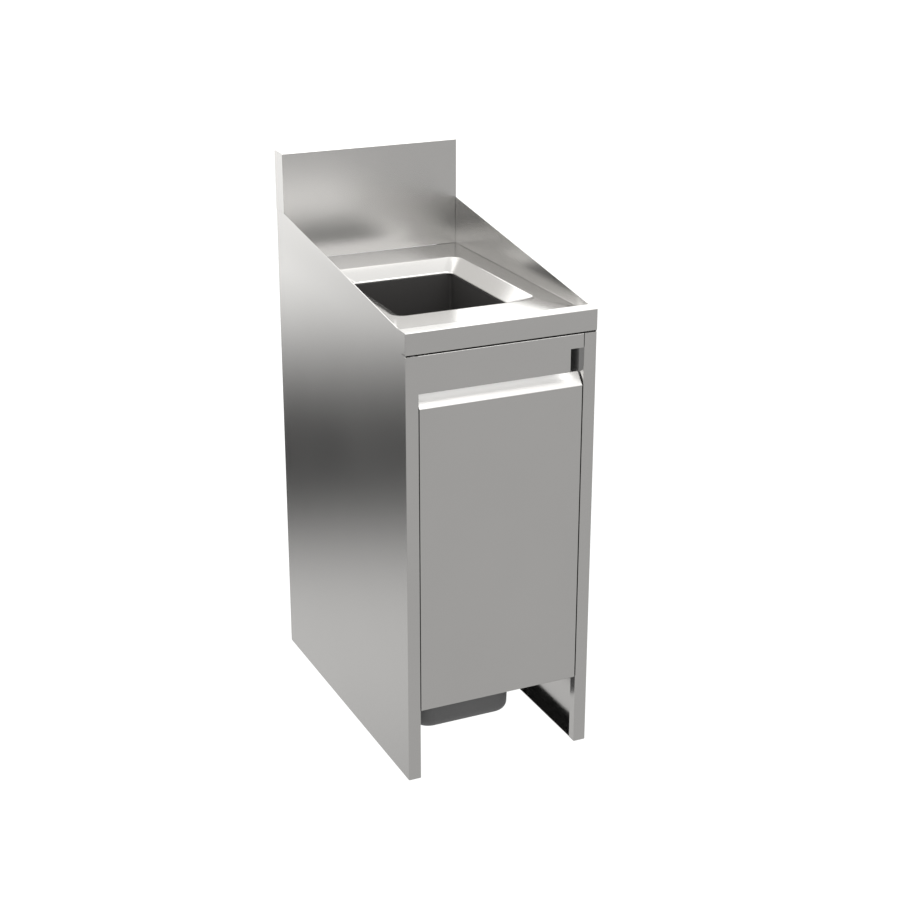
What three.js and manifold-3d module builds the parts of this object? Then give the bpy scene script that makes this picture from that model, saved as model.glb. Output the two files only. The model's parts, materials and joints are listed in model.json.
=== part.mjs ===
// A narrow free-standing waste station in satin stainless steel. Two folded side panels rise
// into sloping wings on both sides of a pressed worktop with a drop opening, a box backsplash
// stands at the rear, and a front panel on telescopic slides pulls out the bin that hangs
// under the opening. Millimetres, +Z up, front towards -Y, origin on the floor in the middle.
import * as THREE from "three";
import { mergeVertices } from "three/addons/utils/BufferGeometryUtils.js";
import Module from "manifold-3d";

// Driving dimensions of the cabinet
const WIDTH = 360;
const DEPTH = 620;
const WORKTOP_HEIGHT = 840;
const TOTAL_HEIGHT = 1032;
const SHEET = 1.5;
const BEND = 2;
const GAP = 0.3;

const SIDE = WIDTH / 2;
const FRONT = -DEPTH / 2;
const BACK = DEPTH / 2;

// Side panels
const STILE_WIDTH = 24;
const STILE_RETURN = 18.5;
const STILE_TOP = 798.2;
const STILE_FACE = SIDE - STILE_WIDTH;
const WING_FRONT = FRONT + 33.5;
const WING_TOP = 917.5;
const SPLASH_DEPTH = 42;
const SPLASH_FACE = BACK - SPLASH_DEPTH;
const INNER_WALL = SIDE - SHEET - GAP;

// Worktop: a raised front edge, a sunk deck and a funnel down to the opening and its chute
const APRON_BOTTOM = 800.4;
const DECK = 825;
const DECK_FLANGE = 20;
const LAND_END = FRONT + 30;
const RAMP_END = FRONT + 52;
const LIP_HEIGHT = 808.5;
const CHUTE_BOTTOM = 705;
const RIDGE = { half: 138, front: -166, back: 168, radius: 24 };
const OPENING = { half: 103.7, front: -130, back: 126.3, radius: 16 };
const CHUTE = { ...OPENING, radius: 4 };

// Fixed front rail over the pull-out front, notched at its right end
const RAIL_BOTTOM = 731.5;
const NOTCH_LEFT = 129.6;
const NOTCH_TOP = 773;

// Pull-out front
const DOOR_LEFT = -155.1;
const DOOR_RIGHT = 153.7;
const DOOR_BOTTOM = 135.4;
const DOOR_TOP = 704.4;
const DOOR_DEPTH = 18.7;
const PULL_BACK = 20;
const PULL_RISE = 22.3;
const DOOR_REAR = FRONT + DOOR_DEPTH + 1.8;

// Telescopic slides, their brackets and the arms that carry the bin ring
const SLIDE_HEIGHT = 590;
const SLIDE_SHEET = 1.2;
const SLIDE_FRONT = FRONT + 24;
const SLIDE_LENGTH = 500;
const BRACKET_FACE = 154;
const OUTER = { face: 143.4, back: 153.7, half: 22.5, lip: 4.3 };
const MIDDLE = { face: 143.4, web: 148, back: 151, half: 17 };
const INNER = { face: 141, back: 147, half: 13 };
const ARM_FACE = INNER.face - GAP;
const ARM_BACK = 190;
const RING_TOP = 656.5;
const RING = { half: ARM_FACE - SHEET - GAP, front: -192, back: 188 };

// Bin, hung by its rim
const BIN = { foot: 7, rim: 661, wall: 3, fillet: 15, middle: -2 };
const BIN_FOOT = { half: 98, depth: 166, radius: 34 };
const BIN_MOUTH = { half: 112, depth: 170, radius: 14 };
const RIM_WIDTH = 12;
const RIM_THICKNESS = 4;

// Fasteners
const SHANK_RADIUS = 2;
const HOLE_RADIUS = 2.3;
const HEAD_RADIUS = 4;

const steel = (color, roughness) =>
  new THREE.MeshStandardMaterial({ color, roughness, metalness: 1 });
const SATIN = steel(0xb9b7b2, 0.35);
const WORN = steel(0xc4c2bd, 0.3);
const GALVANISED = steel(0x9a9c9e, 0.45);
const ZINC = steel(0xaeb0b2, 0.3);
const BIN_PLASTIC = new THREE.MeshStandardMaterial({
  color: 0x5a5a5c,
  roughness: 0.6,
  metalness: 0,
});

const wasm = await Module();
wasm.setup();

function toSolid(geometry) {
  const bare = geometry.clone();
  bare.deleteAttribute("normal");
  bare.deleteAttribute("uv");
  const merged = mergeVertices(bare, 1e-3);
  return new wasm.Manifold(
    new wasm.Mesh({
      numProp: 3,
      vertProperties: new Float32Array(merged.attributes.position.array),
      triVerts: new Uint32Array(merged.index.array),
    }),
  );
}

function toGeometry(solid) {
  const mesh = solid.getMesh();
  const geometry = new THREE.BufferGeometry();
  const positions = new THREE.BufferAttribute(mesh.vertProperties, mesh.numProp);
  geometry.setAttribute("position", positions);
  geometry.setIndex(new THREE.BufferAttribute(mesh.triVerts, 1));
  geometry.computeVertexNormals();
  return geometry;
}

function join(...geometries) {
  return toGeometry(geometries.map(toSolid).reduce((all, one) => all.add(one)));
}

function cut(body, ...tools) {
  return toGeometry(
    tools.map(toSolid).reduce((left, tool) => left.subtract(tool), toSolid(body)),
  );
}

function box([x0, x1], [y0, y1], [z0, z1]) {
  return new THREE.BoxGeometry(x1 - x0, y1 - y0, z1 - z0).translate(
    (x0 + x1) / 2,
    (y0 + y1) / 2,
    (z0 + z1) / 2,
  );
}

function extrude(shape, length) {
  return new THREE.ExtrudeGeometry(shape, { depth: length, bevelEnabled: false });
}

// Outlines carried along one axis: (y, z) along X, (x, z) along Y and (x, y) along Z.
function alongX(shape, x0, x1) {
  const turn = new THREE.Matrix4().set(0, 0, 1, x0, 1, 0, 0, 0, 0, 1, 0, 0, 0, 0, 0, 1);
  return extrude(shape, x1 - x0).applyMatrix4(turn);
}

function alongY(shape, y0, y1) {
  return extrude(shape, y1 - y0).rotateX(Math.PI / 2).translate(0, y1, 0);
}

function alongZ(shape, z0, z1) {
  return extrude(shape, z1 - z0).translate(0, 0, z0);
}

const outline = (...points) => new THREE.Shape(points.map(([u, v]) => new THREE.Vector2(u, v)));

// The section of a sheet folded along a line of corners [u, v, radius] on one of its faces.
// The other face lies one thickness to the line's left, or to its right if that is negative.
function foldedSheet(corners, thickness = SHEET, steps = 4) {
  const points = corners.map(([u, v]) => new THREE.Vector2(u, v));
  const face = [];
  const back = [];
  const add = (point, normal) => {
    face.push(point);
    back.push(point.clone().addScaledVector(normal, thickness));
  };
  const leftOf = (way) => new THREE.Vector2(-way.y, way.x);
  const headings = points.slice(1).map((p, i) => p.clone().sub(points[i]).normalize());
  add(points[0], leftOf(headings[0]));
  for (let i = 1; i < points.length - 1; i++) {
    const [into, out] = [headings[i - 1], headings[i]];
    const turn = Math.atan2(into.cross(out), into.dot(out));
    const radius = corners[i][2] ?? BEND;
    const start = points[i].clone().addScaledVector(into, -radius * Math.tan(Math.abs(turn) / 2));
    const toCentre = leftOf(into).multiplyScalar(radius * Math.sign(turn));
    const centre = start.clone().add(toCentre);
    for (let k = 0; k <= steps; k++) {
      const normal = leftOf(into).rotateAround(new THREE.Vector2(), (turn * k) / steps);
      add(centre.clone().addScaledVector(normal, -radius * Math.sign(turn)), normal);
    }
  }
  add(points.at(-1), leftOf(headings.at(-1)));
  return new THREE.Shape([...face, ...back.reverse()]);
}

// The points of a rectangle with round corners, anticlockwise, grown outwards by an offset.
function roundedRectangle({ half, front, back, radius }, offset = 0, steps = 6) {
  const r = Math.max(radius + offset, 0.5);
  const [left, right] = [-half - offset, half + offset];
  const [low, high] = [front - offset, back + offset];
  const centres = [
    [right - r, low + r, -Math.PI / 2],
    [right - r, high - r, 0],
    [left + r, high - r, Math.PI / 2],
    [left + r, low + r, Math.PI],
  ];
  return centres.flatMap(([x, y, from]) =>
    Array.from({ length: steps + 1 }, (_, k) => {
      const angle = from + (Math.PI / 2) * (k / steps);
      return new THREE.Vector2(x + r * Math.cos(angle), y + r * Math.sin(angle));
    }),
  );
}

// A skin through rings of points, each { points, z }. A closed loft joins its last ring to its
// first, which leaves a way through, and an open one gets a flat cap on both end rings.
function loft(rings, closed) {
  const count = rings[0].points.length;
  const positions = rings.flatMap(({ points, z }) => points.flatMap((p) => [p.x, p.y, z]));
  const index = [];
  const spans = closed ? rings.length : rings.length - 1;
  for (let k = 0; k < spans; k++) {
    const [low, high] = [k * count, ((k + 1) % rings.length) * count];
    for (let j = 0; j < count; j++) {
      const next = (j + 1) % count;
      index.push(low + j, low + next, high + next, low + j, high + next, high + j);
    }
  }
  const last = (rings.length - 1) * count;
  for (let j = 1; !closed && j < count - 1; j++) {
    index.push(0, j + 1, j, last, last + j, last + j + 1);
  }
  const geometry = new THREE.BufferGeometry();
  geometry.setAttribute("position", new THREE.Float32BufferAttribute(positions, 3));
  geometry.setIndex(index);
  geometry.computeVertexNormals();
  return geometry;
}

// A pan-head screw on its seat: the head rises along +Y and the shank goes the other way.
function screwGeometry(shank) {
  const profile = [
    [0, -shank],
    [SHANK_RADIUS, -shank],
    [SHANK_RADIUS, GAP],
    [HEAD_RADIUS, GAP],
    [HEAD_RADIUS, 1],
    [2.6, 1.9],
    [1.4, 2],
    [1.2, 1],
    [0, 1],
  ];
  return new THREE.LatheGeometry(profile.map(([r, y]) => new THREE.Vector2(r, y)), 12);
}

const quarterTurn = (way) =>
  new THREE.Quaternion().setFromUnitVectors(new THREE.Vector3(0, 1, 0), way);

// Clearance holes for screws, each { at, way }, through every sheet within reach of the seat.
function drill(body, seats, reach = 8) {
  const holes = seats.map(({ at, way }) => {
    const hole = new THREE.CylinderGeometry(HOLE_RADIUS, HOLE_RADIUS, 2 * reach, 12);
    return hole.applyQuaternion(quarterTurn(way)).translate(at.x, at.y, at.z);
  });
  return cut(body, ...holes);
}

const seat = (x, y, z, way) => ({ at: new THREE.Vector3(x, y, z), way });
const LEFTWARD = new THREE.Vector3(-1, 0, 0);
const RIGHTWARD = new THREE.Vector3(1, 0, 0);
const BACKWARD = new THREE.Vector3(0, 1, 0);

// Screw seats. Those of the slides, arms and ring are the right side's: the left mirrors them.
const slideSeats = [-215, 150].map((y) => seat(OUTER.back - SLIDE_SHEET, y, SLIDE_HEIGHT, LEFTWARD));
const ringSeats = [-150, 150].map((y) => seat(ARM_FACE, y, 635, RIGHTWARD));
const armSeats = [572, 636].map((z) => seat(124, DOOR_REAR + GAP + SHEET, z, BACKWARD));
const coverSeats = [-1, 1].flatMap((side) =>
  [938, 1012].map((z) => seat(side * 160, BACK - 3.5, z, BACKWARD)),
);
const rearSeats = [-1, 1].flatMap((side) =>
  [90, 770].map((z) => seat(side * (INNER_WALL - SHEET - 6), 261.5, z, BACKWARD)),
);

function sidePanel() {
  const shell = foldedSheet([
    [STILE_FACE, FRONT + STILE_RETURN],
    [STILE_FACE, FRONT],
    [SIDE, FRONT],
    [SIDE, BACK],
    [STILE_FACE, BACK],
  ]);
  const rearCorner = foldedSheet([
    [SIDE, 0],
    [SIDE, BACK],
    [STILE_FACE, BACK],
  ]);
  const skin = outline(
    [FRONT + SHEET + GAP, STILE_TOP - 10],
    [BACK - BEND, STILE_TOP - 10],
    [BACK - BEND, DECK - 2],
    [BACK, DECK - 2],
    [BACK, WING_TOP],
    [SPLASH_FACE, WING_TOP],
    [WING_FRONT, WORKTOP_HEIGHT],
    [WING_FRONT, WORKTOP_HEIGHT - SHEET - GAP],
    [FRONT + SHEET + GAP, WORKTOP_HEIGHT - SHEET - GAP],
  );
  return join(
    alongZ(shell, 0, STILE_TOP),
    alongZ(rearCorner, STILE_TOP - 10, DECK - 2),
    alongX(skin, SIDE - SHEET, SIDE),
    box([STILE_FACE, SIDE - 1], [FRONT + 1, BACK - 1], [0, SHEET]),
  );
}

// Rings of the funnel from the deck over its ridge, down its slope, over the lip and down the
// square chute, then back up along the underside.
function funnel() {
  const ring = (rectangle, offset, z) => ({ points: roundedRectangle(rectangle, offset), z });
  return loft(
    [
      ring(RIDGE, 5, DECK),
      ring(RIDGE, 2, DECK),
      ring(RIDGE, -0.5, DECK - 0.4),
      ring(RIDGE, -3, DECK - 1.5),
      ring(OPENING, 6, LIP_HEIGHT + 1),
      ring(OPENING, 3, LIP_HEIGHT),
      ring(OPENING, 1, LIP_HEIGHT - 0.3),
      ring(OPENING, 0, LIP_HEIGHT - 1.5),
      ring(CHUTE, 0, LIP_HEIGHT - 7),
      ring(CHUTE, 0, CHUTE_BOTTOM),
      ring(CHUTE, SHEET, CHUTE_BOTTOM),
      ring(CHUTE, SHEET, LIP_HEIGHT - 7),
      ring(OPENING, SHEET, LIP_HEIGHT - 2),
      ring(OPENING, 6, LIP_HEIGHT + 1 - SHEET),
      ring(RIDGE, -3, DECK - 1.5 - SHEET),
      ring(RIDGE, 2, DECK - SHEET),
      ring(RIDGE, 5, DECK - SHEET),
    ],
    true,
  );
}

function worktop() {
  const section = foldedSheet(
    [
      [FRONT + 16, APRON_BOTTOM],
      [FRONT, APRON_BOTTOM],
      [FRONT, WORKTOP_HEIGHT],
      [LAND_END, WORKTOP_HEIGHT, 10],
      [RAMP_END, DECK, 10],
      [SPLASH_FACE - GAP, DECK],
      [SPLASH_FACE - GAP, DECK - DECK_FLANGE],
    ],
    -SHEET,
  );
  const mouth = new THREE.Shape(roundedRectangle(RIDGE, 3.5));
  const flanges = [-1, 1].map((side) => {
    const [low, high] = [side * INNER_WALL, side * (INNER_WALL - SHEET)].sort((a, b) => a - b);
    return box([low, high], [RAMP_END, SPLASH_FACE - 4], [DECK - DECK_FLANGE, DECK - 0.5]);
  });
  const sides = [-1, 1].flatMap((side) => {
    const [low, high] = [side * INNER_WALL, side * (SIDE + 5)].sort((a, b) => a - b);
    return [
      box([low, high], [FRONT + SHEET, WING_FRONT - GAP], [700, WORKTOP_HEIGHT - SHEET]),
      box([low, high], [WING_FRONT - GAP, BACK], [700, WORKTOP_HEIGHT + 5]),
    ];
  });
  const plate = cut(alongX(section, -SIDE, SIDE), alongZ(mouth, DECK - 15, DECK + 5), ...sides);
  return join(plate, funnel(), ...flanges);
}

function deckStiffener() {
  const section = foldedSheet([
    [146, DECK - SHEET - GAP],
    [154, DECK - SHEET - GAP],
    [154, DECK - 22],
    [164, DECK - 22],
    [164, DECK - SHEET - GAP],
    [172, DECK - SHEET - GAP],
  ], -SHEET);
  return alongY(section, RAMP_END + 6, SPLASH_FACE - 12);
}

// The backsplash is a folded front, top and rear lip, with an end plate over each wing.
function backsplash() {
  const section = foldedSheet(
    [
      [SPLASH_FACE + 14, DECK + GAP],
      [SPLASH_FACE, DECK + GAP],
      [SPLASH_FACE, TOTAL_HEIGHT],
      [BACK, TOTAL_HEIGHT],
      [BACK, TOTAL_HEIGHT - 14],
    ],
    -SHEET,
  );
  const overWings = WING_TOP + GAP;
  const ends = [-1, 1].map((side) => {
    const [low, high] = [side * SIDE, side * (SIDE - SHEET)].sort((a, b) => a - b);
    return box([low, high], [SPLASH_FACE + 0.5, BACK], [overWings, TOTAL_HEIGHT - 1]);
  });
  const beside = [-1, 1].map((side) => {
    const [low, high] = [side * INNER_WALL, side * (SIDE + 5)].sort((a, b) => a - b);
    return box([low, high], [SPLASH_FACE - 5, BACK + 5], [DECK - 10, overWings]);
  });
  return join(cut(alongX(section, -SIDE, SIDE), ...beside), ...ends);
}

// The cover stands between the end plates and hooks under the rear lip.
function backsplashCover() {
  const edge = SIDE - SHEET - GAP;
  const section = foldedSheet([
    [BACK - 17, DECK + 6],
    [BACK - 3.5, DECK + 6, 2],
    [BACK - 3.5, TOTAL_HEIGHT - 4],
  ]);
  const beside = [-1, 1].map((side) => {
    const [low, high] = [side * INNER_WALL, side * (SIDE + 5)].sort((a, b) => a - b);
    return box([low, high], [BACK - 30, BACK + 5], [DECK, WING_TOP + 1]);
  });
  return drill(cut(alongX(section, -edge, edge), ...beside), coverSeats);
}

function frontRail() {
  const [left, right] = [-STILE_FACE + GAP, STILE_FACE - 1.4];
  const section = foldedSheet(
    [
      [FRONT, RAIL_BOTTOM],
      [FRONT, STILE_TOP],
      [FRONT + 16, STILE_TOP],
    ],
    -SHEET,
  );
  const tabs = [
    box([left, left + SHEET], [FRONT + 0.5, FRONT + STILE_RETURN], [RAIL_BOTTOM + 4, STILE_TOP - 1]),
    box([right - SHEET, right], [FRONT + 0.5, FRONT + STILE_RETURN], [NOTCH_TOP, STILE_TOP - 1]),
  ];
  const notch = box([NOTCH_LEFT, SIDE], [FRONT - 5, FRONT + 25], [RAIL_BOTTOM - 5, NOTCH_TOP]);
  return cut(join(alongX(section, left, right), ...tabs), notch);
}

function rearPanel() {
  const [bottom, top] = [60, DECK - DECK_FLANGE - 5];
  const front = 260;
  const pan = foldedSheet([
    [-INNER_WALL, front + 22],
    [-INNER_WALL, front],
    [INNER_WALL, front],
    [INNER_WALL, front + 22],
  ]);
  const edge = INNER_WALL - 2;
  const flanges = [bottom, top - SHEET].map((z) =>
    box([-edge, edge], [front + 1, front + 20], [z, z + SHEET]),
  );
  return drill(join(alongZ(pan, bottom, top), ...flanges), rearSeats, 4);
}

function stretcher(y0, y1, z0, z1) {
  const section = foldedSheet([[y1, z0], [y0, z0], [y0, z1], [y1, z1]], -SHEET);
  return alongX(section, -INNER_WALL, INNER_WALL);
}

function slideBracket() {
  const [low, high] = [SLIDE_HEIGHT - 34, SLIDE_HEIGHT + 34];
  const face = BRACKET_FACE + SHEET;
  const section = foldedSheet([
    [INNER_WALL, low - 20],
    [INNER_WALL, low],
    [face, low],
    [face, high],
    [INNER_WALL, high],
    [INNER_WALL, high + 20],
  ]);
  return drill(alongY(section, SLIDE_FRONT, 240), slideSeats);
}

// Slide members as sections across the pull-out direction. The fixed one is a channel with
// lips, the middle one an I, and the inner one a plain channel.
function slideOuter() {
  const { face, back, half, lip } = OUTER;
  const section = foldedSheet(
    [
      [face, SLIDE_HEIGHT - half + lip],
      [face, SLIDE_HEIGHT - half, 2],
      [back, SLIDE_HEIGHT - half, 2],
      [back, SLIDE_HEIGHT + half, 2],
      [face, SLIDE_HEIGHT + half, 2],
      [face, SLIDE_HEIGHT + half - lip],
    ],
    SLIDE_SHEET,
    2,
  );
  return drill(alongY(section, SLIDE_FRONT, SLIDE_FRONT + SLIDE_LENGTH), slideSeats);
}

function slideMiddle() {
  const { face, web, back, half } = MIDDLE;
  const [y0, y1] = [SLIDE_FRONT + 4, SLIDE_FRONT + SLIDE_LENGTH - 16];
  const flange = half - SLIDE_SHEET;
  return join(
    box([web, web + SLIDE_SHEET], [y0, y1], [SLIDE_HEIGHT - half, SLIDE_HEIGHT + half]),
    box([face, back], [y0, y1], [SLIDE_HEIGHT + flange, SLIDE_HEIGHT + half]),
    box([face, back], [y0, y1], [SLIDE_HEIGHT - half, SLIDE_HEIGHT - flange]),
  );
}

function slideInner() {
  const { face, back, half } = INNER;
  const section = foldedSheet(
    [
      [back, SLIDE_HEIGHT - half],
      [face, SLIDE_HEIGHT - half, 2],
      [face, SLIDE_HEIGHT + half, 2],
      [back, SLIDE_HEIGHT + half],
    ],
    -SLIDE_SHEET,
    2,
  );
  return alongY(section, SLIDE_FRONT, SLIDE_FRONT + SLIDE_LENGTH - 20);
}

function carrierArm() {
  const section = foldedSheet([
    [108, DOOR_REAR + GAP],
    [ARM_FACE, DOOR_REAR + GAP],
    [ARM_FACE, ARM_BACK],
  ]);
  return drill(alongZ(section, 556, 652), [...armSeats, ...ringSeats]);
}

function binRing() {
  const { half, front, back } = RING;
  const hole = new THREE.Shape(
    roundedRectangle(
      {
        half: BIN_MOUTH.half + 2,
        front: BIN.middle - BIN_MOUTH.depth - 2,
        back: BIN.middle + BIN_MOUTH.depth + 2,
        radius: BIN_MOUTH.radius + 2,
      },
      0,
    ),
  );
  const acrossX = foldedSheet([[-half, 616], [-half, RING_TOP], [half, RING_TOP], [half, 616]], -SHEET);
  const flanges = [front, back - SHEET].map((y) =>
    box([-half + 1, half - 1], [y, y + SHEET], [RING_TOP - 18, RING_TOP - 0.5]),
  );
  const ring = cut(
    join(alongY(acrossX, front, back), ...flanges),
    alongZ(hole, RING_TOP - 10, RING_TOP + 5),
  );
  const mirrored = ringSeats.map(({ at, way }) => seat(-at.x, at.y, at.z, way));
  return drill(ring, [...ringSeats, ...mirrored]);
}

function doorFront() {
  const bottomReturn = FRONT + DOOR_DEPTH;
  const section = foldedSheet(
    [
      [bottomReturn, DOOR_BOTTOM],
      [FRONT, DOOR_BOTTOM],
      [FRONT, DOOR_TOP],
      [FRONT + PULL_BACK, DOOR_TOP + PULL_RISE, 1],
      [FRONT + PULL_BACK, DOOR_TOP + PULL_RISE - 12],
    ],
    -SHEET,
  );
  const rise = (PULL_RISE / PULL_BACK) * DOOR_DEPTH;
  const end = outline(
    [FRONT + 0.8, DOOR_BOTTOM + 0.8],
    [bottomReturn - 0.8, DOOR_BOTTOM + 0.8],
    [bottomReturn - 0.8, DOOR_TOP + rise - 1.5],
    [FRONT + 0.8, DOOR_TOP - 0.7],
  );
  return join(
    alongX(section, DOOR_LEFT, DOOR_RIGHT),
    alongX(end, DOOR_LEFT, DOOR_LEFT + SHEET),
    alongX(end, DOOR_RIGHT - SHEET, DOOR_RIGHT),
  );
}

function doorLiner() {
  const [left, right] = [DOOR_LEFT + SHEET + GAP, DOOR_RIGHT - SHEET - GAP];
  const section = foldedSheet(
    [
      [left, DOOR_REAR - 10],
      [left, DOOR_REAR],
      [right, DOOR_REAR],
      [right, DOOR_REAR - 10],
    ],
    -SHEET,
  );
  const seats = armSeats.flatMap(({ at, way }) => [seat(at.x, at.y, at.z, way), seat(-at.x, at.y, at.z, way)]);
  return drill(alongZ(section, DOOR_BOTTOM + SHEET + GAP, DOOR_TOP + 4), seats);
}

// The bin's skin goes up the outside from its foot, round the rim and down the inside.
function bin() {
  const outside = (z) => {
    const share = (z - BIN.foot) / (BIN.rim - BIN.foot);
    const mix = (name) => THREE.MathUtils.lerp(BIN_FOOT[name], BIN_MOUTH[name], share);
    const depth = mix("depth");
    const [front, back] = [BIN.middle - depth, BIN.middle + depth];
    return { half: mix("half"), front, back, radius: mix("radius") };
  };
  const ring = (z, offset) => ({ points: roundedRectangle(outside(z), offset), z });
  const roundFoot = (floor, radius, offset, steps) =>
    Array.from({ length: steps + 1 }, (_, k) => {
      const angle = (Math.PI / 2) * (k / steps);
      const z = floor + radius * (1 - Math.cos(angle));
      return ring(z, offset - radius * (1 - Math.sin(angle)));
    });
  const under = BIN.rim - RIM_THICKNESS;
  const inner = BIN.fillet - BIN.wall;
  return loft(
    [
      ...roundFoot(BIN.foot, BIN.fillet, 0, 4),
      ring(under, 0),
      ring(under, RIM_WIDTH - 1),
      ring(under + 1, RIM_WIDTH),
      ring(BIN.rim - 1.5, RIM_WIDTH),
      ring(BIN.rim, RIM_WIDTH - 1.5),
      ring(BIN.rim, -BIN.wall + 1.5),
      ring(BIN.rim - 1.5, -BIN.wall),
      ...roundFoot(BIN.foot + BIN.wall, inner, -BIN.wall, 4).reverse(),
    ],
    false,
  );
}

const station = new THREE.Group();

function place(name, geometry, material, mirror = false) {
  const mesh = new THREE.Mesh(geometry, material);
  mesh.name = name;
  mesh.scale.x = mirror ? -1 : 1;
  station.add(mesh);
}

function placePair(name, geometry, material) {
  place("right_" + name, geometry, material);
  place("left_" + name, geometry, material, true);
}

function placeScrews(name, seats, shank) {
  seats.forEach(({ at, way }, i) => {
    const geometry = screwGeometry(shank).applyQuaternion(quarterTurn(way));
    place(`${name}_${i + 1}`, geometry.translate(at.x, at.y, at.z), ZINC);
  });
}

function placeScrewPairs(name, seats, shank) {
  const mirror = ({ at, way }) => seat(-at.x, at.y, at.z, way.clone().setX(-way.x));
  placeScrews("right_" + name, seats, shank);
  placeScrews("left_" + name, seats.map(mirror), shank);
}

placePair("side_panel", sidePanel(), SATIN);
place("worktop", worktop(), WORN);
placePair("deck_stiffener", deckStiffener(), GALVANISED);
place("backsplash", backsplash(), SATIN);
place("backsplash_rear_cover", backsplashCover(), SATIN);
place("front_rail", frontRail(), SATIN);
place("front_stretcher", stretcher(-288, -262, 774, 798), GALVANISED);
place("rear_stretcher", stretcher(284, 300, 10, 54), GALVANISED);
place("rear_panel", rearPanel(), GALVANISED);
placePair("slide_bracket", slideBracket(), GALVANISED);
placePair("slide_outer", slideOuter(), ZINC);
placePair("slide_middle", slideMiddle(), ZINC);
placePair("slide_inner", slideInner(), ZINC);
placePair("carrier_arm", carrierArm(), GALVANISED);
place("bin_ring", binRing(), GALVANISED);
place("door_front", doorFront(), SATIN);
place("door_liner", doorLiner(), SATIN);
place("bin", bin(), BIN_PLASTIC);
placeScrewPairs("slide_screw", slideSeats, 5);
placeScrewPairs("ring_screw", ringSeats, 5);
placeScrewPairs("arm_screw", armSeats, 5);
placeScrews("cover_screw", coverSeats, 5);
placeScrews("rear_screw", rearSeats, 3);

export default station;
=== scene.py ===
import json
import math

import bpy
import numpy as np
from mathutils import Euler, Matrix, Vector


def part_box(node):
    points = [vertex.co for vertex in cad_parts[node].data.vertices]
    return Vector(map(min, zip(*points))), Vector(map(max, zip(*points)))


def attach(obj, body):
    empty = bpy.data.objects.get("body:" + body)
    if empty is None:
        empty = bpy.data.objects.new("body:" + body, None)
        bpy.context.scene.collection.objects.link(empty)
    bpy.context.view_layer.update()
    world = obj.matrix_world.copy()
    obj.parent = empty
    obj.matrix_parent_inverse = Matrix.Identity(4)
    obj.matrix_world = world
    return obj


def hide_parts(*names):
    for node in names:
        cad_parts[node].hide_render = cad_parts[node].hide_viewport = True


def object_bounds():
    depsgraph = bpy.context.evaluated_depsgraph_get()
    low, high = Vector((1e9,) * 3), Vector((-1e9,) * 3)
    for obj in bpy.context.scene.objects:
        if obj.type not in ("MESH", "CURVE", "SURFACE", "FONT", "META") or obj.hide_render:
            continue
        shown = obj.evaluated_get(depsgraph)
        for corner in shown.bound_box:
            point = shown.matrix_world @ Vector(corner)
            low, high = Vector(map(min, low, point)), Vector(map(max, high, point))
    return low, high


# A narrow free-standing waste station in satin stainless steel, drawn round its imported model.
# Blender is in metres. Shapes are worked out in millimetres, +Z up with the front towards -Y,
# and become metres as they are put into their meshes.

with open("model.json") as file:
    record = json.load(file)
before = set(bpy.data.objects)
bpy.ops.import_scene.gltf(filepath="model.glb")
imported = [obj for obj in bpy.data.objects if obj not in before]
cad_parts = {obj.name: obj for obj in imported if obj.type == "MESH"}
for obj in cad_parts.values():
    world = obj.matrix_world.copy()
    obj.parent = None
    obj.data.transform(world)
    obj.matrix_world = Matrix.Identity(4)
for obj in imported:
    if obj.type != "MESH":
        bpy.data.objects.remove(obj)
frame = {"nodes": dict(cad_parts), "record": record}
NODES = frame["nodes"]
CAD_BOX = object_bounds()
MM = 0.001


def box(node):
    """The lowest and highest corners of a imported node, in millimetres."""
    low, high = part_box(node)
    return np.array(low) / MM, np.array(high) / MM


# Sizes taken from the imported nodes
_, (SIDE, BACK, TOTAL_HEIGHT) = (np.array(corner) / MM for corner in CAD_BOX)
FRONT = box("worktop")[0][1]
WORKTOP_HEIGHT = box("worktop")[1][2]
CHUTE_BOTTOM = box("worktop")[0][2]
SPLASH_FACE = box("backsplash")[0][1]
WING_TOP = box("right_side_panel")[1][2]
STILE_FACE = box("right_side_panel")[0][0]
RAIL_LOW, RAIL_HIGH = box("front_rail")
DOOR_LOW, DOOR_HIGH = box("door_front")
LINER_LOW, LINER_HIGH = box("door_liner")
BIN_LOW, BIN_HIGH = box("bin")

# Details of the sheet work
SHEET = 1.5
GAP = 0.3
BEND = 2.0
TIGHT = 0.3
INNER_WALL = SIDE - SHEET - GAP
STILE_RETURN = 18.5
STILE_TOP = RAIL_HIGH[2]
WING_FRONT = FRONT + 33.5
APRON_BOTTOM = STILE_TOP + 2.2
DECK = WORKTOP_HEIGHT - 15
DECK_FLANGE = 20
LAND_END = FRONT + 30
RAMP_END = FRONT + 52
DECK_START = FRONT + 57
LIP_HEIGHT = DECK - 16.5
RIDGE = {"half": 138, "front": -166, "back": 168, "radius": 24}
OPENING = {"half": 103.7, "front": -130, "back": 126.3, "radius": 16}
CHUTE = {**OPENING, "radius": 4}
NOTCH_LEFT = 129.6
NOTCH_TOP = 773
DOOR_TOP = DOOR_LOW[2] + 569
DOOR_DEPTH = 18.7
PULL_BACK = 20
PULL_RISE = 22.3
BIN_WALL = 3
BIN_FILLET = 15
BIN_RIM = 12


# ---------------------------------------------------------------- camera and studio

def make_camera():
    """A long lens, left of the front and above the worktop, looking down on the cabinet."""
    data = bpy.data.cameras.new("camera")
    data.sensor_width = 36
    data.lens = 71.18
    camera = bpy.data.objects.new("camera", data)
    camera.location = (-1.2804, -2.8759, 1.6891)
    camera.rotation_euler = Euler((math.radians(90 - 20.66), 0, math.radians(-24.72)))
    bpy.context.scene.collection.objects.link(camera)
    bpy.context.scene.camera = camera


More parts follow.
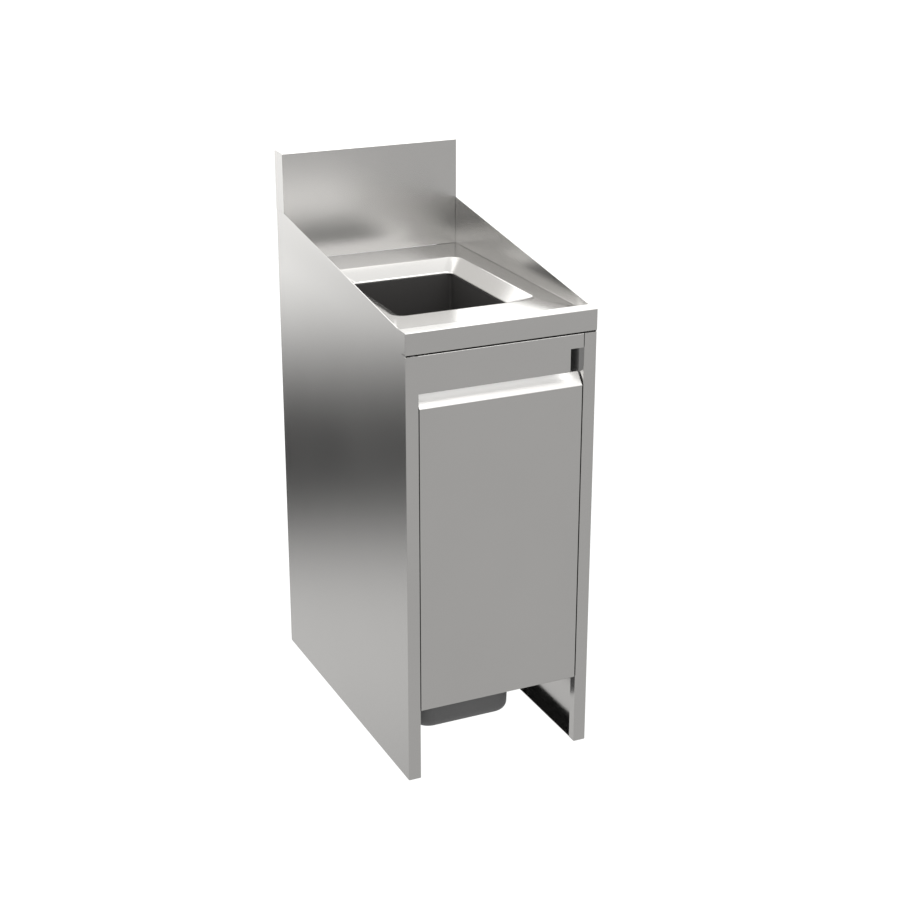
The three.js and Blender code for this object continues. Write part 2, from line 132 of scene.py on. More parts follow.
class Value:
    """A shader socket that adds Math nodes when numbers or other sockets act on it."""

    def __init__(self, tree, socket):
        self.tree = tree
        self.socket = socket

    def _math(self, operation, *others):
        node = self.tree.nodes.new("ShaderNodeMath")
        node.operation = operation
        for slot, item in zip(node.inputs, (self, *others)):
            if isinstance(item, Value):
                self.tree.links.new(item.socket, slot)
            else:
                slot.default_value = item
        return Value(self.tree, node.outputs[0])

    def _reflected(self, operation, number):
        node = self.tree.nodes.new("ShaderNodeMath")
        node.operation = operation
        node.inputs[0].default_value = number
        self.tree.links.new(self.socket, node.inputs[1])
        return Value(self.tree, node.outputs[0])

    def __add__(self, other):
        return self._math("ADD", other)

    __radd__ = __add__

    def __mul__(self, other):
        return self._math("MULTIPLY", other)

    __rmul__ = __mul__

    def __sub__(self, other):
        return self._math("SUBTRACT", other)

    def __rsub__(self, number):
        return self._reflected("SUBTRACT", number)

    def __truediv__(self, other):
        return self._math("DIVIDE", other)

    def clamp(self, low=0.0, high=1.0):
        return self._math("MAXIMUM", low)._math("MINIMUM", high)

    def smooth(self, low, high):
        """0 below low and 1 above high, with a smooth step between."""
        t = ((self - low) / (high - low)).clamp()
        return t * t * (3 - 2 * t)


class Shader:
    """A node tree with one method for any node that isn't plain maths."""

    def __init__(self, tree):
        self.tree = tree
        tree.nodes.clear()

    def node(self, kind, settings=None, **sockets):
        node = self.tree.nodes.new(kind)
        for name, value in (settings or {}).items():
            setattr(node, name, value)
        for name, value in sockets.items():
            self.feed(node, name.replace("_", " "), value)
        return node

    def feed(self, node, name, value):
        slot = node.inputs[int(name)] if name.isdigit() else node.inputs[name]
        if isinstance(value, Value):
            self.tree.links.new(value.socket, slot)
        elif isinstance(value, bpy.types.NodeSocket):
            self.tree.links.new(value, slot)
        else:
            slot.default_value = value

    def value(self, node, output=0):
        return Value(self.tree, node.outputs[output])

    def mix(self, factor, a, b):
        """Two colours mixed by a factor."""
        node = self.node("ShaderNodeMix", {"data_type": "RGBA"})
        self.feed(node, "0", factor)
        self.feed(node, "6", a)
        self.feed(node, "7", b)
        return node.outputs[2]


def make_world():
    """A soft studio all round. It is white above and behind, and mid grey low in front, which
    the front mirrors. Low behind on the left hangs a dark flag with a soft edge above and
    below, which the left panel mirrors as one shaded band."""
    world = bpy.data.worlds.new("studio")
    bpy.context.scene.world = world
    world.use_nodes = True
    shader = Shader(world.node_tree)
    way = shader.node("ShaderNodeTexCoord").outputs["Generated"]
    split = shader.node("ShaderNodeSeparateXYZ", Vector=way)
    x, y, z = (shader.value(split, i) for i in range(3))
    front = 0.61 + 1.2 * z.smooth(0.03, 0.3)
    above = 1.42 + 1.0 * z.smooth(0.02, 0.45) - 1.1 * z.smooth(0.66, 0.9)
    shaded = 0.80 - 0.78 * z.smooth(-0.43, -0.365) - 0.28 * (1 - z.smooth(-0.58, -0.44))
    behind = shaded + (above - shaded) * z.smooth(-0.34, -0.24)
    strength = front + (behind - front) * y.smooth(-0.2, 0.4)
    seen = shader.value(shader.node("ShaderNodeLightPath"), 0)
    background = shader.node("ShaderNodeBackground", Strength=strength + seen * (1.05 - strength))
    background.inputs["Color"].default_value = (1, 0.995, 0.985, 1)
    shader.node("ShaderNodeOutputWorld", Surface=background.outputs[0])


def make_floor():
    """A wide white floor, so evenly lit that it takes no shadow."""
    bpy.ops.mesh.primitive_plane_add(size=30, location=(0, 0, -0.0005))
    floor = bpy.context.object
    floor.name = "floor"
    floor.visible_glossy = False
    material = bpy.data.materials.new("pale_floor")
    material.use_nodes = True
    shader = Shader(material.node_tree)
    surface = shader.node("ShaderNodeBsdfPrincipled", Roughness=0.9)
    surface.inputs["Base Color"].default_value = (0, 0, 0, 1)
    surface.inputs["Emission Color"].default_value = (1, 1, 1, 1)
    surface.inputs["Emission Strength"].default_value = 1.05
    shader.node("ShaderNodeOutputMaterial", Surface=surface.outputs[0])
    floor.data.materials.append(material)


def make_lamp(name, place, aim, size, power):
    data = bpy.data.lights.new(name, "AREA")
    data.shape = "DISK"
    data.size = size
    data.energy = power
    lamp = bpy.data.objects.new(name, data)
    lamp.location = place
    lamp.rotation_euler = (Vector(aim) - Vector(place)).to_track_quat("-Z", "Y").to_euler()
    bpy.context.scene.collection.objects.link(lamp)
    return lamp


def set_stage():
    bpy.context.scene.view_settings.view_transform = "Standard"
    make_world()
    make_floor()
    make_lamp("overhead_softbox", (0.3, -0.6, 3.4), (0, 0, 0.8), 2.2, 30)
    behind_rail = Vector((-0.003, (FRONT + 2.4) * MM, (RAIL_LOW[2] + 17.5) * MM))
    strip = make_lamp("strip_behind_rail", behind_rail, behind_rail + Vector((0, 1, 0)), 0.3, 0.055)
    strip.data.shape = "RECTANGLE"
    strip.data.size_y = 0.035
    strip.visible_camera = False
    inside = Vector((0, -0.2, 0.722))
    fill = make_lamp("fill_behind_front", inside, inside - Vector((0, 1, 0)), 0.3, 0.03)
    fill.data.shape = "RECTANGLE"
    fill.data.size_y = 0.11
    fill.visible_camera = False


# ---------------------------------------------------------------- surfaces

def bent_line(corners, steps=6, ease=0.25):
    """A line through corners (u, v, radius) as points and the unit normals to their left. Each
    corner becomes an arc tangent to both of its sides: the point at turn t lies one radius
    from the arc's centre, against the left normal turned by t. A point just before and just
    after each arc keeps its shading off the flats. A radius of 0 only marks a point."""
    points = np.array([corner[:2] for corner in corners], float)
    ways = np.diff(points, axis=0)
    ways /= np.linalg.norm(ways, axis=1)[:, None]
    lefts = np.stack([-ways[:, 1], ways[:, 0]], 1)
    line, normals = [points[:1]], [lefts[:1]]
    for i, corner in enumerate(corners[1:-1], 1):
        radius = corner[2] if len(corner) > 2 else BEND
        way, left, out = ways[i - 1], lefts[i - 1], ways[i]
        turn = math.atan2(way[0] * out[1] - way[1] * out[0], way @ out)
        if radius == 0:
            line.append(points[i : i + 1])
            normals.append(left[None])
            continue
        t = np.linspace(0, turn, steps + 1)[:, None]
        normal = left * np.cos(t) - way * np.sin(t)
        start = points[i] - way * radius * math.tan(abs(turn) / 2)
        arc = start + math.copysign(radius, turn) * (left - normal)
        line.extend([arc[:1] - ease * way, arc, arc[-1:] + ease * out])
        normals.extend([normal[:1], normal, normal[-1:]])
    line.append(points[-1:])
    normals.append(lefts[-1:])
    return np.concatenate(line), np.concatenate(normals)


def sheet(line, levels, axis, present=None, thickness=SHEET):
    """A folded sheet: a bent line carried along an axis over levels, with a second skin one
    thickness along its normals. The grid's cell between points i, i + 1 and levels j, j + 1
    is there where present says so, and the two skins are joined wherever a cell has no
    neighbour. Levels may differ from point to point, which slopes an edge."""
    points, normals = line
    levels = np.asarray(levels, float)
    if levels.ndim == 1:
        levels = np.tile(levels, (len(points), 1))
    n, m = levels.shape
    if present is None:
        present = np.ones((n - 1, m - 1), bool)
    skins = np.stack([points, points + thickness * normals])[:, :, None, :].repeat(m, 2)
    along = np.stack([levels, levels])[..., None]
    at = {"x": 0, "y": 1, "z": 2}[axis]
    vertices = np.concatenate([skins[..., :at], along, skins[..., at:]], -1).reshape(-1, 3)
    index = np.arange(2 * n * m).reshape(2, n, m)
    top, back = index

    def corners(skin):
        return np.stack([skin[:-1, :-1], skin[1:, :-1], skin[1:, 1:], skin[:-1, 1:]], -1)

    padded = np.pad(present, 1).astype(int)
    starts = padded[1:, 1:-1] - padded[:-1, 1:-1]
    side = np.stack([top[:, :-1], top[:, 1:], back[:, 1:], back[:, :-1]], -1)
    ends = padded[1:-1, 1:] - padded[1:-1, :-1]
    end = np.stack([top[1:], top[:-1], back[:-1], back[1:]], -1)
    faces = [
        corners(top)[present],
        corners(back)[present][:, ::-1],
        side[starts > 0],
        side[starts < 0][:, ::-1],
        end[ends > 0],
        end[ends < 0][:, ::-1],
    ]
    return vertices, [np.concatenate(faces)]


def skin(rings, closed=False):
    """Quads between rings (k, n, 3) of n points that go round. A closed skin joins its last
    ring to its first, and an open one has a flat face on each end ring."""
    k, n = rings.shape[:2]
    index = np.arange(k * n).reshape(k, n)
    low = index if closed else index[:-1]
    high = np.roll(index, -1, 0) if closed else index[1:]
    quads = np.stack([low, np.roll(low, -1, 1), np.roll(high, -1, 1), high], -1).reshape(-1, 4)
    caps = [] if closed else [index[:1, ::-1], index[-1:]]
    return rings.reshape(-1, 3), [quads, *caps]


def block(low, high):
    """A closed box between two corners, as a sheet along Z."""
    line = np.array([[low[0], low[1]], [high[0], low[1]]], float)
    normals = np.array([[0, 1.0], [0, 1.0]])
    return sheet((line, normals), [low[2], high[2]], "z", thickness=high[1] - low[1])


def weld(*forms):
    """Several forms as one: points that meet become one, faces without area go, and so do
    pairs of faces that lie back to back. Each shell is turned to face outwards."""
    offsets = np.cumsum([0] + [len(vertices) for vertices, _ in forms])
    vertices = np.concatenate([vertices for vertices, _ in forms])
    _, first, to = np.unique(
        np.round(vertices / 1e-3).astype(np.int64), axis=0, return_index=True, return_inverse=True
    )
    to = to.reshape(-1)
    volumes = [facing(v, f) for v, f in forms]
    groups = {}
    for offset, turn, (_, faces) in zip(offsets, volumes, forms):
        for face in faces:
            face = to[face[:, ::turn] + offset]
            apart = face != np.roll(face, 1, axis=1)
            count = apart.sum(1)
            groups.setdefault(face.shape[1], []).append(face[count == face.shape[1]])
            if face.shape[1] == 4:
                groups.setdefault(3, []).append(face[count == 3][apart[count == 3]].reshape(-1, 3))
    faces = []
    for parts in groups.values():
        face = np.concatenate(parts)
        _, place, count = np.unique(np.sort(face, 1), axis=0, return_inverse=True, return_counts=True)
        faces.append(face[count[place.reshape(-1)] == 1])
    return vertices[first], faces


def facing(vertices, faces):
    """1 for a shell whose faces point outwards by its signed volume, and -1 otherwise."""
    volume = 0
    for face in faces:
        for i in range(1, face.shape[1] - 1):
            a, b, c = vertices[face[:, 0]], vertices[face[:, i]], vertices[face[:, i + 1]]
            volume += np.einsum("ij,ij->", a, np.cross(b, c))
    return 1 if volume >= 0 else -1


def mirrored(form):
    """A form reflected in the middle plane, with its faces turned back."""
    vertices, faces = form
    return vertices * (-1, 1, 1), [face[:, ::-1] for face in faces]


def add_piece(name, form, body, node, slot, edge=0.35, finish=None):
    """Puts a form into a mesh with smooth bends and broken edges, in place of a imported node.
    Its finish is its slot's unless another one is named."""
    vertices, faces = form
    mesh = bpy.data.meshes.new(name)
    mesh.from_pydata((vertices * MM).tolist(), [], [f for face in faces for f in face.tolist()])
    mesh.validate()
    mesh.shade_smooth()
    mesh.set_sharp_from_angle(angle=math.radians(32))
    piece = bpy.data.objects.new(name, mesh)
    bpy.context.scene.collection.objects.link(piece)
    if edge:
        bevel = piece.modifiers.new("broken_edge", "BEVEL")
        bevel.width = edge * MM
        bevel.segments = 2
        bevel.limit_method = "ANGLE"
        bevel.angle_limit = math.radians(50)
        bevel.harden_normals = True
    mesh.materials.append(MATERIALS[finish or slot])
    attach(piece, body)
    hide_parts(node)
    return piece


def round_ring(rectangle, offset=0.0, steps=12, ease=1.0):
    """A rectangle with round corners grown outwards by offset, as points that go round
    anticlockwise from the right front corner: each corner's centre plus its radius along a
    quarter turn, with one point on the flat either side of it."""
    radius = max(rectangle["radius"] + offset, 0.4)
    x = rectangle["half"] + offset - radius
    low = rectangle["front"] - offset + radius
    high = rectangle["back"] + offset - radius
    centres = np.array([[x, low], [x, high], [-x, high], [-x, low]])
    turns = np.linspace(0, math.pi / 2, steps + 1)
    turns = np.concatenate([turns[:1], turns, turns[-1:]])
    slip = np.zeros(steps + 3)
    slip[0], slip[-1] = -ease, ease
    angle = (np.arange(4)[:, None] - 1) * math.pi / 2 + turns
    out = np.stack([np.cos(angle), np.sin(angle)], -1)
    onward = np.stack([-out[..., 1], out[..., 0]], -1)
    return (centres[:, None] + radius * out + slip[:, None] * onward).reshape(-1, 2)


def deck_ring(steps=12):
    """The deck's outline with as many points as round_ring: each corner's turn runs along one
    side to the corner and on along the next."""
    inner = round_ring(RIDGE).reshape(4, -1, 2)
    right, front, back = INNER_WALL, DECK_START, SPLASH_FACE - GAP
    corners = np.array([[right, front], [right, back], [-right, back], [-right, front]])
    share = np.concatenate([[0, 0], np.linspace(0, 1, steps + 1)[1:-1], [1, 1]])[:, None]
    rings = []
    for k, corner in enumerate(corners):
        low, high = inner[k, 0].copy(), inner[k, -1].copy()
        low[1 - k % 2] = corner[1 - k % 2]
        high[k % 2] = corner[k % 2]
        first = low + (corner - low) * np.minimum(2 * share, 1)
        rings.append(first + (high - corner) * np.maximum(2 * share - 1, 0))
        rings[-1][1] = low + (corner - low) * 0.02
        rings[-1][-2] = high + (corner - high) * 0.02
    return np.concatenate(rings)


def lift(ring, height):
    return np.column_stack([ring, np.full(len(ring), float(height))])


# ---------------------------------------------------------------- pieces

def side_panel():
    """The right side panel: its plan goes from the return round the stile, along the skin and
    round the rear fold, and each point has its own heights for the cut-outs and the wing."""
    line = bent_line([
        (STILE_FACE, FRONT + STILE_RETURN),
        (STILE_FACE, FRONT),
        (SIDE, FRONT),
        (SIDE, WING_FRONT, 0),
        (SIDE, SPLASH_FACE, 0),
        (SIDE, BACK),
        (STILE_FACE, BACK),
    ])
    x, y = line[0].T
    share = np.clip((y - WING_FRONT) / (SPLASH_FACE - WING_FRONT), 0, 1)
    wing = WORKTOP_HEIGHT + share * (WING_TOP - WORKTOP_HEIGHT)
    steady = [np.full(len(x), h) for h in (0, STILE_TOP, DECK - 2, WORKTOP_HEIGHT - SHEET - GAP)]
    levels = np.stack([*steady, wing], 1)
    flat = (np.minimum(x[1:], x[:-1]) > SIDE - 1e-6)[:, None]
    ahead = ((y[1:] + y[:-1]) / 2 < WING_FRONT)[:, None]
    rear = ((y[1:] + y[:-1]) / 2 > SPLASH_FACE)[:, None]
    rows = np.arange(4)
    reach = np.where(flat, np.where(ahead, 2, 3), np.where(rear, 1, 0))
    panel = sheet(line, levels, "z", rows <= reach)
    foot = block((STILE_FACE + 0.4, FRONT + 1, 0), (SIDE - 1, BACK - 1, SHEET))
    return weld(panel, foot)


def worktop():
    """The worktop as one skin. The front is a bent line along X: return, apron, land and ramp.
    It runs into the deck, whose rings go from the side flanges round their bends, over the
    funnel's ridge, down its slope, over the lip and down the chute, and back underneath."""
    outline = deck_ring()
    x, y = outline.T
    bent_x = np.where(np.abs(x) > INNER_WALL - 1e-6, np.sign(x), 0.0)
    bent_y = np.where(y > SPLASH_FACE - GAP - 1e-6, 1.0, 0.0)
    bent_x[y < DECK_START + 1e-6] = 0
    bent = np.maximum(np.abs(bent_x), bent_y)

    def fold(turn, depth, down=0.0):
        """The rim of the deck at one turn of its bend, or that far down the flange."""
        radius = np.where(bent_y > 0, depth + TIGHT, BEND)
        inset = radius - (radius - depth) * math.sin(turn)
        drop = radius - (radius - depth) * math.cos(turn)
        height = DECK - depth * (1 - bent) - bent * (drop + down)
        return np.column_stack([x - inset * bent_x, y - inset * bent_y, height])

    def round_over(depth):
        turns = np.linspace(math.pi / 2, 0, 7)
        return [fold(math.pi / 2, depth, DECK_FLANGE - BEND), *(fold(t, depth) for t in turns)]

    def funnel(depth):
        """The ridge bends from flat to the slope and the lip bends from the slope to plumb:
        each point lies one radius from its bend's centre, less the depth below the skin."""
        slope, ridge, lip = math.radians(28), 11.0, 3.5
        rings = [lift(round_ring(RIDGE, 6), DECK - depth)]
        for t in np.linspace(0, slope, 7):
            inward = (ridge - depth) * math.sin(t)
            drop = ridge - (ridge - depth) * math.cos(t)
            rings.append(lift(round_ring(RIDGE, 3 - inward), DECK - drop))
        for t in np.linspace(slope, math.pi / 2, 7):
            inward = (lip - depth) * math.sin(t)
            rise = (lip - depth) * math.cos(t)
            rings.append(lift(round_ring(OPENING, lip - inward), LIP_HEIGHT - lip + rise))
        rings.append(lift(round_ring(CHUTE, depth), LIP_HEIGHT - 8))
        rings.append(lift(round_ring(CHUTE, depth), LIP_HEIGHT - 9))
        rings.append(lift(round_ring(CHUTE, depth), CHUTE_BOTTOM))
        return rings

    outer = round_over(0) + funnel(0)
    inner = round_over(SHEET) + funnel(SHEET)
    deck = skin(np.stack(outer + inner[::-1]), closed=True)

    line = bent_line([
        (FRONT + 16, APRON_BOTTOM),
        (FRONT, APRON_BOTTOM),
        (FRONT, WORKTOP_HEIGHT),
        (LAND_END, WORKTOP_HEIGHT, 10),
        (RAMP_END, DECK, 10),
        (DECK_START, DECK),
    ])
    across = np.unique(np.round(x[y < DECK_START + 1e-6], 6))
    across = np.concatenate([[-SIDE], across, [SIDE]])
    middle = (line[0][1:, 0] + line[0][:-1, 0]) / 2
    inside = np.abs((across[1:] + across[:-1]) / 2) < INNER_WALL
    present = inside[None, :] | (middle < WING_FRONT - GAP)[:, None]
    return weld(deck, sheet_down(line, across, present))


def sheet_down(line, levels, present):
    """A sheet along X whose second skin lies to the right of its line, which is underneath."""
    points, normals = line
    return sheet((points, -normals), levels, "x", present)


def backsplash():
    """The box backsplash: a lip, the tall front, the top and a rear lip in one bend line along
    X, notched beside the wings, and an end plate over each wing."""
    line = bent_line([
        (SPLASH_FACE + 14, DECK + 0.1),
        (SPLASH_FACE, DECK + 0.1, TIGHT),
        (SPLASH_FACE, WING_TOP + GAP, 0),
        (SPLASH_FACE, TOTAL_HEIGHT),
        (BACK, TOTAL_HEIGHT),
        (BACK, TOTAL_HEIGHT - 14),
    ])
    across = [-SIDE, -INNER_WALL, INNER_WALL, SIDE]
    middle = (line[0][1:, 1] + line[0][:-1, 1]) / 2
    present = np.array([[False, True, False]]) | (middle > WING_TOP + GAP)[:, None]
    front = sheet_down(line, across, present)
    low, high = WING_TOP + GAP, TOTAL_HEIGHT - 1
    end = block((SIDE - SHEET - 0.02, SPLASH_FACE + 0.6, low), (SIDE - 0.02, BACK - 0.05, high))
    return weld(front, end, mirrored(end))


def front_rail():
    """The fixed rail: lower edge, face and top return along X, with the notch at its
    right end left out of the grid."""
    left, right = -STILE_FACE - BEND, RAIL_HIGH[0]
    line = bent_line([
        (FRONT, RAIL_LOW[2]),
        (FRONT, NOTCH_TOP, 0),
        (FRONT, STILE_TOP, 0.8),
        (FRONT + 16, STILE_TOP),
    ])
    low = (line[0][1:, 1] + line[0][:-1, 1]) / 2 < NOTCH_TOP
    present = np.ones((len(low), 2), bool)
    present[low, 1] = False
    rail = sheet_down(line, [left, NOTCH_LEFT, right], present)
    tab = block((right - SHEET, FRONT + 0.7, NOTCH_TOP), (right, FRONT + STILE_RETURN, STILE_TOP - 1))
    return weld(rail, tab)


def door_front():
    """The pull-out front: bottom return, face, sloping finger pull and its turned-down hook
    along X, with a plate closing each end."""
    top = DOOR_TOP + PULL_RISE
    hook = FRONT + PULL_BACK
    line = bent_line([
        (FRONT + DOOR_DEPTH, DOOR_LOW[2]),
        (FRONT, DOOR_LOW[2]),
        (FRONT, DOOR_TOP),
        (hook, top, 1),
        (hook, top - 12),
    ])
    face = sheet_down(line, [DOOR_LOW[0], DOOR_HIGH[0]], None)
    rise = PULL_RISE / PULL_BACK * DOOR_DEPTH
    back = FRONT + DOOR_DEPTH - 0.8
    plan = np.array([(FRONT + 0.8, DOOR_LOW[2] + 0.8), (back, DOOR_LOW[2] + 0.8)])
    heights = np.array([[DOOR_LOW[2] + 0.8, DOOR_TOP - 0.7], [DOOR_LOW[2] + 0.8, DOOR_TOP + rise - 1.5]])
    x = DOOR_HIGH[0] - SHEET
    line = np.array([(x, plan[0, 0]), (x, plan[1, 0])])
    normals = np.array([(1.0, 0), (1.0, 0)])
    end = sheet((line, normals), heights, "z", thickness=SHEET - 0.02)
    other = end[0] + (DOOR_LOW[0] - x + 0.02, 0, 0), end[1]
    return weld(face, end, other)


def door_liner():
    line = bent_line([
        (LINER_LOW[0], LINER_LOW[1]),
        (LINER_LOW[0], LINER_HIGH[1]),
        (LINER_HIGH[0], LINER_HIGH[1]),
        (LINER_HIGH[0], LINER_LOW[1]),
    ])
    points, normals = line
    return weld(sheet((points, -normals), [LINER_LOW[2], LINER_HIGH[2]], "z"))


def bin_shell():
    """The bin: round-cornered rings that grow from foot to mouth, with a quarter-round foot
    outside and in, and a flat rim with soft edges."""
    foot, rim = BIN_LOW[2], BIN_HIGH[2]
    middle = (BIN_LOW[1] + BIN_HIGH[1]) / 2
    mouth_half = BIN_HIGH[0] - BIN_RIM
    mouth_depth = (BIN_HIGH[1] - BIN_LOW[1]) / 2 - BIN_RIM

    def ring(height, offset):
        share = (height - foot) / (rim - foot)
        depth = mouth_depth - 4 * (1 - share)
        shape = {
            "half": mouth_half - 14 * (1 - share),
            "front": middle - depth,
            "back": middle + depth,
            "radius": 34 - 20 * share,
        }
        return lift(round_ring(shape, offset), height)

    def rounded_foot(floor, radius, offset):
        turns = np.linspace(0, math.pi / 2, 10)
        return [
            ring(floor + radius * (1 - math.cos(t)), offset - radius * (1 - math.sin(t)))
            for t in turns
        ]

    under = rim - 4
    rings = rounded_foot(foot, BIN_FILLET, 0)
    rings += [ring(foot + BIN_FILLET + 2, 0), ring(under - 3, 0), ring(under - 0.6, 0.2)]
    rings += [ring(under, 1), ring(under, BIN_RIM - 1.5), ring(under + 0.5, BIN_RIM - 0.5)]
    edge = np.linspace(0, math.pi / 2, 5)
    rings += [ring(rim - 1.5 + 1.5 * math.sin(t), BIN_RIM - 1.5 + 1.5 * math.cos(t)) for t in edge]
    rings += [
        ring(rim - 1.5 + 1.5 * math.cos(t), 1.5 - BIN_WALL - 1.5 * math.sin(t)) for t in edge
    ]
    inner = rounded_foot(foot + BIN_WALL, BIN_FILLET - BIN_WALL, -BIN_WALL)
    rings += [ring(rim - 6, -BIN_WALL), ring(foot + BIN_FILLET + 2, -BIN_WALL), *inner[::-1]]
    return weld(skin(np.stack(rings)))


def screw(node, way):
    """A pan-head screw along a way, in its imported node's box: rings from the shank's tip over
    the head, then down a cross recess whose outline is a circle pinched four times a turn."""
    low, high = box(node)
    way = np.array(way, float)
    length = abs(way @ (high - low))
    head = (low + high) / 2 + way * (length / 2 - 2)
    side = np.array([0, 0, 1.0])
    across = np.cross(way, side)
    turn = np.linspace(0, 2 * math.pi, 32, endpoint=False)
    cross = 1.25 + 0.75 * np.cos(4 * turn)
    round_parts = [(1.2, 2 - length), (2, 3 - length), (2, 0.28), (3.8, 0.3), (4, 0.5), (4, 0.9)]
    dome = [(3.85, 1.25), (3.5, 1.55), (3.0, 1.8), (2.5, 1.93)]
    radii = [np.full(32, r) for r, _ in round_parts + dome] + [cross * 1.08, cross, cross * 0.55]
    heights = [h for _, h in round_parts + dome] + [2.0, 1.9, 1.0]
    rings = [
        head + h * way + (r * np.cos(turn))[:, None] * across + (r * np.sin(turn))[:, None] * side
        for r, h in zip(radii, heights)
    ]
    return weld(skin(np.stack(rings)))


# ---------------------------------------------------------------- materials

def principled(name):
    material = bpy.data.materials.new(name)
    material.use_nodes = True
    shader = Shader(material.node_tree)
    surface = shader.node("ShaderNodeBsdfPrincipled")
    shader.node("ShaderNodeOutputMaterial", Surface=surface.outputs[0])
    return material, shader, surface


def satin_steel(
    name, color, roughness, stretch, dull=0.075, dull_above=(0.80, 0.87), painted_shade_below=None
):
    """Ground sheet steel: fine scratches run along the short axis of stretch, over the soft
    cloudiness that a rolled sheet has. It is duller above a height, where hands and cloths
    rub it. Behind the apron, everything below a given height gets painted shade: a dark
    matt colour that stands in for the shade inside the chute."""
    material, shader, surface = principled(name)
    coords = shader.node("ShaderNodeTexCoord").outputs["Object"]
    place = shader.node("ShaderNodeMapping", Vector=coords)
    place.inputs["Scale"].default_value = stretch
    grain = shader.node("ShaderNodeTexNoise", Vector=place.outputs[0], Scale=1.0, Detail=4.0)
    cloud = shader.node("ShaderNodeTexNoise", Vector=coords, Scale=5.0, Detail=2.0)
    grain_value = shader.value(grain)
    cloud_value = shader.value(cloud)
    split = shader.node("ShaderNodeSeparateXYZ", Vector=coords)
    wiped = dull * shader.value(split, 2).smooth(*dull_above)
    rough = roughness + wiped + 0.03 * (grain_value - 0.5) + 0.02 * (cloud_value - 0.5)
    shade = (grain_value * 0.5 + cloud_value * 0.5).smooth(0.3, 0.7)
    dark = tuple(0.965 * c for c in color)
    tint = shader.mix(shade, (*dark, 1), (*color, 1))
    bump = shader.node("ShaderNodeBump", Strength=0.02, Distance=0.00002, Height=grain_value)
    shader.feed(surface, "Normal", bump.outputs[0])
    if painted_shade_below is None:
        shader.feed(surface, "Base Color", tint)
        shader.feed(surface, "Roughness", rough)
        surface.inputs["Metallic"].default_value = 1.0
        return material
    # Painted shade: behind the apron and below the given height, the chute walls get a dark matt colour
    # that stands in for the shade inside the chute.
    above_painted_shade = shader.value(split, 2).smooth(painted_shade_below - 0.001, painted_shade_below)
    painted_shade = (1 - above_painted_shade) * shader.value(split, 1).smooth(*BEHIND_APRON)
    shader.feed(surface, "Base Color", shader.mix(painted_shade, tint, CHUTE_PAINTED_SHADE))
    shader.feed(surface, "Roughness", rough + 0.3 * painted_shade)
    shader.feed(surface, "Metallic", 1 - painted_shade)
    return material


def galvanised(name, color):
    """Zinc-coated sheet: flat crystals a centimetre across, each with its own grey."""
    material, shader, surface = principled(name)
    coords = shader.node("ShaderNodeTexCoord").outputs["Object"]
    crystal = shader.node("ShaderNodeTexVoronoi", Vector=coords, Scale=95.0)
    split = shader.node("ShaderNodeSeparateColor", Color=crystal.outputs["Color"])
    grey = shader.value(split, 0)
    dark = tuple(0.78 * c for c in color)
    tint = shader.mix(grey, (*dark, 1), (*color, 1))
    shader.feed(surface, "Base Color", tint)
    shader.feed(surface, "Roughness", 0.36 + 0.16 * shader.value(split, 1))
    surface.inputs["Metallic"].default_value = 1.0
    return material


def bright_zinc(name, color, roughness):
    """Zinc plating with fine drawing lines along the depth and faint smears."""
    material, shader, surface = principled(name)
    coords = shader.node("ShaderNodeTexCoord").outputs["Object"]
    place = shader.node("ShaderNodeMapping", Vector=coords)
    place.inputs["Scale"].default_value = (1600, 40, 1600)
    lines = shader.node("ShaderNodeTexNoise", Vector=place.outputs[0], Scale=1.0, Detail=3.0)
    smear = shader.node("ShaderNodeTexNoise", Vector=coords, Scale=30.0, Detail=3.0)
    shade = (0.5 * shader.value(lines) + 0.5 * shader.value(smear)).smooth(0.3, 0.7)
    tint = shader.mix(shade, (*(0.85 * c for c in color), 1), (*color, 1))
    shader.feed(surface, "Base Color", tint)
    shader.feed(surface, "Roughness", roughness + 0.12 * (shader.value(smear) - 0.5))
    bump = shader.node("ShaderNodeBump", Strength=0.05, Distance=0.0001, Height=shader.value(lines))
    shader.feed(surface, "Normal", bump.outputs[0])
    surface.inputs["Metallic"].default_value = 1.0
    return material


def moulded_plastic(name, color):
    """Grey polypropylene with a fine matt grain."""
    material, shader, surface = principled(name)
    coords = shader.node("ShaderNodeTexCoord").outputs["Object"]
    grain = shader.node("ShaderNodeTexNoise", Vector=coords, Scale=900.0, Detail=2.0)
    cloud = shader.node("ShaderNodeTexNoise", Vector=coords, Scale=14.0, Detail=3.0)
    shade = shader.value(cloud).smooth(0.3, 0.75)
    tint = shader.mix(shade, (*(0.95 * c for c in color), 1), (*color, 1))
    bump = shader.node(
        "ShaderNodeBump", Strength=0.2, Distance=0.0002, Height=shader.value(grain)
    )
    shader.feed(surface, "Base Color", tint)
    shader.feed(surface, "Roughness", 0.52 + 0.05 * shader.value(cloud))
    shader.feed(surface, "Normal", bump.outputs[0])
    return material


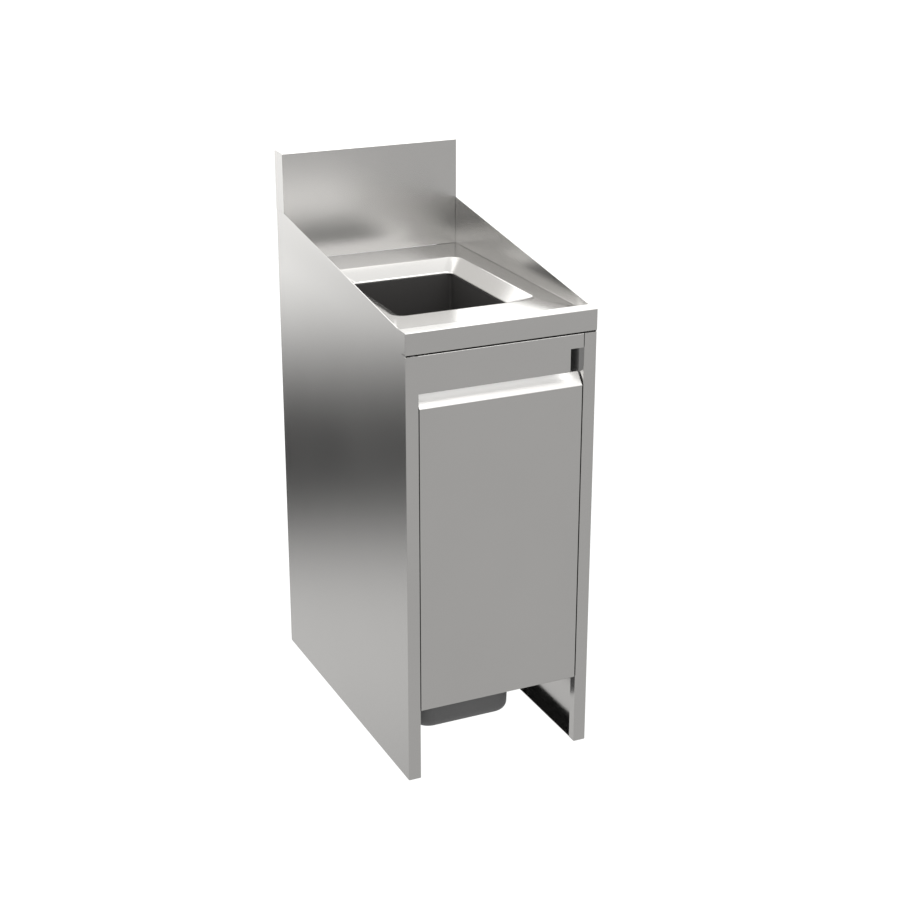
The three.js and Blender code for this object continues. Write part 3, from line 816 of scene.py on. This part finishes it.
STEEL_TINT = (0.563, 0.557, 0.547)
# The dark colour painted on the chute walls as shade, and the height below which it is painted.
CHUTE_PAINTED_SHADE = (0.038, 0.0365, 0.0355, 1)
PAINTED_SHADE_TOP = 0.8045
BEHIND_APRON = (-0.25, -0.24)
MATERIALS = {
    "satin_steel": satin_steel("satin_steel", STEEL_TINT, 0.185, (60, 60, 2400)),
    "handled_steel": satin_steel(
        "handled_steel", STEEL_TINT, 0.185, (60, 60, 2400), 0.2, (0.7, 0.708)
    ),
    "worktop_steel": satin_steel(
        "worktop_steel", STEEL_TINT, 0.15, (60, 1800, 1800), painted_shade_below=PAINTED_SHADE_TOP
    ),
    "galvanised_steel": galvanised("galvanised_steel", (0.52, 0.53, 0.54)),
    "slide_zinc": bright_zinc("slide_zinc", (0.66, 0.66, 0.65), 0.28),
    "zinc_screws": bright_zinc("zinc_screws", (0.7, 0.7, 0.69), 0.22),
    "bin_plastic": moulded_plastic("bin_plastic", (0.085, 0.085, 0.086)),
}


def finish_nodes():
    """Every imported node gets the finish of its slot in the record."""
    for name, node in NODES.items():
        slot = SLOT_OF[name]
        node.data.materials.clear()
        node.data.materials.append(MATERIALS[slot])


make_camera()
set_stage()
SLOT_OF = {
    part["node"]: part["material_slot"] for part in frame["record"]["subparts"]
}
finish_nodes()
right = side_panel()
add_piece("right_side_panel_sheet", right, "cabinet", "right_side_panel", "satin_steel")
add_piece("left_side_panel_sheet", mirrored(right), "cabinet", "left_side_panel", "satin_steel")
add_piece("worktop_pressing", worktop(), "cabinet", "worktop", "worktop_steel")
add_piece("backsplash_sheet", backsplash(), "cabinet", "backsplash", "satin_steel")
add_piece("front_rail_sheet", front_rail(), "cabinet", "front_rail", "satin_steel", edge=0)
add_piece(
    "door_front_sheet", door_front(), "drawer", "door_front", "satin_steel", finish="handled_steel"
)
add_piece("door_liner_sheet", door_liner(), "drawer", "door_liner", "satin_steel")
add_piece("bin_shell", bin_shell(), "bin", "bin", "bin_plastic", edge=0)
SCREW_WAYS = {
    "right_slide": (-1, 0, 0),
    "left_slide": (1, 0, 0),
    "right_ring": (1, 0, 0),
    "left_ring": (-1, 0, 0),
}
for body, members in frame["record"]["behaviour"]["bodies"].items():
    for name in members:
        if "_screw_" in name:
            form = screw(name, SCREW_WAYS.get(name.split("_screw_")[0], (0, 1, 0)))
            add_piece(name + "_turned", form, body, name, "zinc_screws", edge=0)
